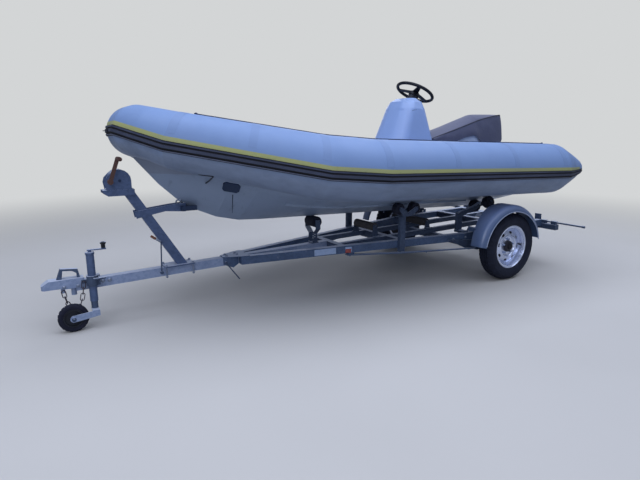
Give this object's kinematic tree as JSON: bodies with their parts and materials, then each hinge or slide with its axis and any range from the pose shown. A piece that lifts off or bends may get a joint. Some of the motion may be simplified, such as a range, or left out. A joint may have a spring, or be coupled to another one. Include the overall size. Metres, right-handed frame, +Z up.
{
  "type": "rigid inflatable boat on a road trailer",
  "caption": "Small rigid inflatable boat with console, jockey seat under a tied cover and bare transom, parked on a galvanised single-axle roller trailer.",
  "frame": {"origin": "on the floor, under the middle of the rig's length and width", "axes": "+X aft, +Y to starboard, +Z up; the rig stands as parked"},
  "size_m": [4.319, 1.852, 1.6405],
  "materials": {
    "tube_fabric": "satin coated fabric",
    "gelcoat": "weathered gelcoat",
    "stripe": "matt",
    "trim_rubber": "matt",
    "rope": "braided",
    "galvanised": "dull zinc",
    "steel": "worn",
    "tyre": "matt",
    "black_plastic": "matt",
    "lamp": "moulded",
    "cover": "coated canvas"
  },
  "bodies": {
    "boat_on_trailer": {"accent_stripe": "stripe", "axle": "galvanised", "beam_plates": "black_plastic", "bilge_roller_posts": "galvanised", "bow_eye": "steel", "bow_flange": "gelcoat", "bow_stop_block": "trim_rubber", "bow_stop_straps": "galvanised", "buoyancy_tube": "tube_fabric", "cockpit_sole": "gelcoat", "console": "gelcoat", "coupling_grip": "steel", "coupling_head": "galvanised", "cradle_arms": "galvanised", "drawbar": "galvanised", "helm_boss": "black_plastic", "hull": "gelcoat", "hull_side_plates": "black_plastic", "jack_clamp": "galvanised", "jack_outer_tube": "galvanised", "junction_bracket": "galvanised", "keel_roller_bracket": "galvanised", "ladder_frame": "galvanised", "latch_levers": "galvanised", "lifelines": "rope", "mudguard_stays": "galvanised", "mudguards": "black_plastic", "rear_lamps": "lamp", "rope_patches": "tube_fabric", "rubbing_strake": "trim_rubber", "safety_chain": "steel", "seat_base": "gelcoat", "seat_cover": "cover", "side_beams": "galvanised", "spray_rails": "gelcoat", "stern_cones": "tube_fabric", "transom": "gelcoat", "wide_roller_brackets": "galvanised", "winch_frame": "galvanised", "winch_post": "galvanised"},
    "steering": {"steering_wheel": "black_plastic"},
    "port_road_wheel": {"port_tyre": "tyre", "port_rim": "steel"},
    "starboard_road_wheel": {"starboard_tyre": "tyre", "starboard_rim": "steel"},
    "jack_inner_leg": {"jack_leg": "galvanised"},
    "jockey_fork": {"jack_fork": "galvanised"},
    "jockey_wheel": {"jockey_tyre": "trim_rubber", "jockey_rim": "black_plastic"},
    "drum": {"winch_drum": "galvanised"},
    "crank": {"winch_crank": "steel"},
    "keel_roller_body": {"keel_roller": "trim_rubber"},
    "front_wide_roller_body": {"front_wide_roller": "trim_rubber"},
    "rear_wide_roller_body": {"rear_wide_roller": "trim_rubber"},
    "port_fore_bilge": {"port_fore_bilge_roller": "trim_rubber"},
    "port_aft_bilge": {"port_aft_bilge_roller": "trim_rubber"},
    "starboard_fore_bilge": {"starboard_fore_bilge_roller": "trim_rubber"},
    "starboard_aft_bilge": {"starboard_aft_bilge_roller": "trim_rubber"},
    "port_cradle": {"port_cradle_rollers": "trim_rubber"},
    "starboard_cradle": {"starboard_cradle_rollers": "trim_rubber"}
  },
  "joints": [
    {"name": "steering_turn", "type": "hinge", "parent": "boat_on_trailer", "child": "steering", "pos_m": [0.7857, 0, 1.53055], "axis": [0.447, 0, 0.8945], "range_deg": [-540, 540]},
    {"name": "port_road_wheel_spin", "type": "hinge", "parent": "boat_on_trailer", "child": "port_road_wheel", "pos_m": [1.25566, -0.7, 0.281], "axis": [0, 1, 0], "continuous": true},
    {"name": "starboard_road_wheel_spin", "type": "hinge", "parent": "boat_on_trailer", "child": "starboard_road_wheel", "pos_m": [1.25566, 0.7, 0.281], "axis": [0, 1, 0], "continuous": true},
    {"name": "jack_extend", "type": "slide", "parent": "boat_on_trailer", "child": "jack_inner_leg", "axis": [0, 0, 1], "range_m": [-0.12, 0.04]},
    {"name": "jockey_swivel", "type": "hinge", "parent": "jack_inner_leg", "child": "jockey_fork", "pos_m": [-1.87434, -0.066, 0.126], "axis": [0, 0, 1], "range_deg": [0, 180]},
    {"name": "jockey_wheel_spin", "type": "hinge", "parent": "jockey_fork", "child": "jockey_wheel", "pos_m": [-2.00334, -0.09, 0.089], "axis": [0, 1, 0], "continuous": true},
    {"name": "winch_drum_turn", "type": "hinge", "parent": "boat_on_trailer", "child": "drum", "pos_m": [-1.65934, 0, 0.92], "axis": [0, 1, 0], "continuous": true},
    {"name": "winch_crank_turn", "type": "hinge", "parent": "boat_on_trailer", "child": "crank", "pos_m": [-1.71934, 0, 0.918], "axis": [0, 1, 0], "continuous": true},
    {"name": "keel_roller_turn", "type": "hinge", "parent": "boat_on_trailer", "child": "keel_roller_body", "pos_m": [-0.22434, 0, 0.52512], "axis": [0, 1, 0], "continuous": true},
    {"name": "front_wide_roller_turn", "type": "hinge", "parent": "boat_on_trailer", "child": "front_wide_roller_body", "pos_m": [0.29566, 0, 0.445], "axis": [0, 1, 0], "continuous": true},
    {"name": "rear_wide_roller_turn", "type": "hinge", "parent": "boat_on_trailer", "child": "rear_wide_roller_body", "pos_m": [0.88066, 0, 0.43], "axis": [0, 1, 0], "continuous": true},
    {"name": "port_fore_bilge_turn", "type": "hinge", "parent": "boat_on_trailer", "child": "port_fore_bilge", "pos_m": [0.31066, -0.408, 0.63238], "axis": [0, 1, 0], "continuous": true},
    {"name": "port_aft_bilge_turn", "type": "hinge", "parent": "boat_on_trailer", "child": "port_aft_bilge", "pos_m": [0.47066, -0.408, 0.62805], "axis": [0, 1, 0], "continuous": true},
    {"name": "starboard_fore_bilge_turn", "type": "hinge", "parent": "boat_on_trailer", "child": "starboard_fore_bilge", "pos_m": [0.31066, 0.408, 0.63238], "axis": [0, 1, 0], "continuous": true},
    {"name": "starboard_aft_bilge_turn", "type": "hinge", "parent": "boat_on_trailer", "child": "starboard_aft_bilge", "pos_m": [0.47066, 0.408, 0.62805], "axis": [0, 1, 0], "continuous": true},
    {"name": "port_cradle_turn", "type": "hinge", "parent": "boat_on_trailer", "child": "port_cradle", "pos_m": [1.29066, -0.375, 0.59709], "axis": [0, 0.9513, -0.3082], "continuous": true},
    {"name": "starboard_cradle_turn", "type": "hinge", "parent": "boat_on_trailer", "child": "starboard_cradle", "pos_m": [1.29066, 0.375, 0.59709], "axis": [0, 0.9513, 0.3082], "continuous": true}
  ],
  "couplings": [
    {"joint": "winch_crank_turn", "follows": "winch_drum_turn", "ratio": -4}
  ]
}
